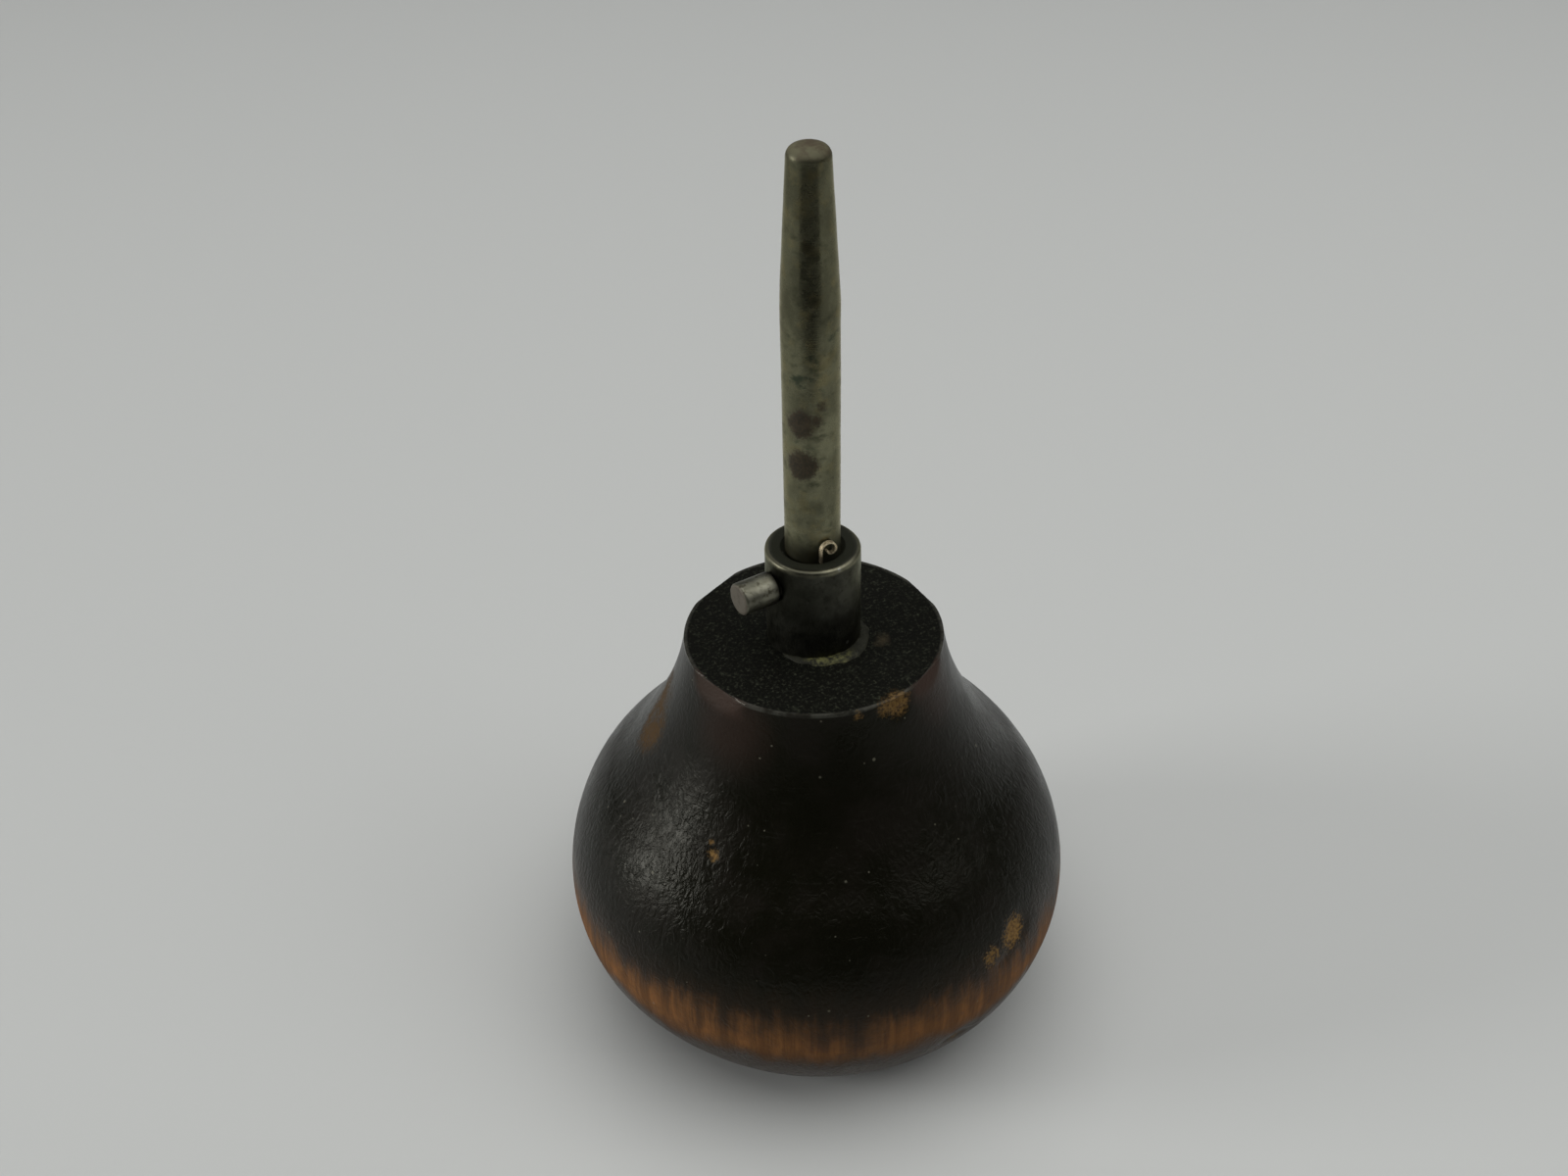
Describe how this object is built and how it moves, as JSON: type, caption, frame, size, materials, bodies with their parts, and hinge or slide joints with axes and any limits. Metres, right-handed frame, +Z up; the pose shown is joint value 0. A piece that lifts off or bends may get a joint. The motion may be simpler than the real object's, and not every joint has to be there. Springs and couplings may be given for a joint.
{
  "type": "palm push tool with clamped rod",
  "caption": "Turned wooden palm handle with a steel socket in its flat top; a tapered, blunt push rod stands in the socket, clamped by a side screw.",
  "frame": {"origin": "centre of the flat base of the handle, the face that the tool stands on", "axes": "+Z up along the rod, away from the base; the set screw points along -X, and the curl of metal on the collar is on the -Y side"},
  "size_m": [0.0474, 0.0474, 0.0859],
  "materials": {
    "stained_wood": "near-black lacquer over turned hardwood, semi-gloss, worn through to orange-brown low on the belly",
    "socket_steel": "dark satin steel with a bright worn rim",
    "rod_steel": "dull mottled steel with brown rust patches",
    "screw_steel": "worn satin steel, brighter than the collar",
    "glue": "hardened yellowish glue, dirty and translucent",
    "curl_metal": "bright cut metal"
  },
  "bodies": {
    "handle_body": {"handle": "stained_wood", "socket_collar": "socket_steel", "glue_bead": "glue", "metal_curl": "curl_metal"},
    "rod_body": {"tool_rod": "rod_steel"},
    "screw_body": {"set_screw": "screw_steel"}
  },
  "joints": [
    {"name": "rod_lift", "type": "slide", "parent": "handle_body", "child": "rod_body", "axis": [0, 0, 1], "range_m": [0, 0.018]},
    {"name": "screw_travel", "type": "slide", "parent": "handle_body", "child": "screw_body", "axis": [-1, 0, 0], "range_m": [0, 0.0013]}
  ]
}
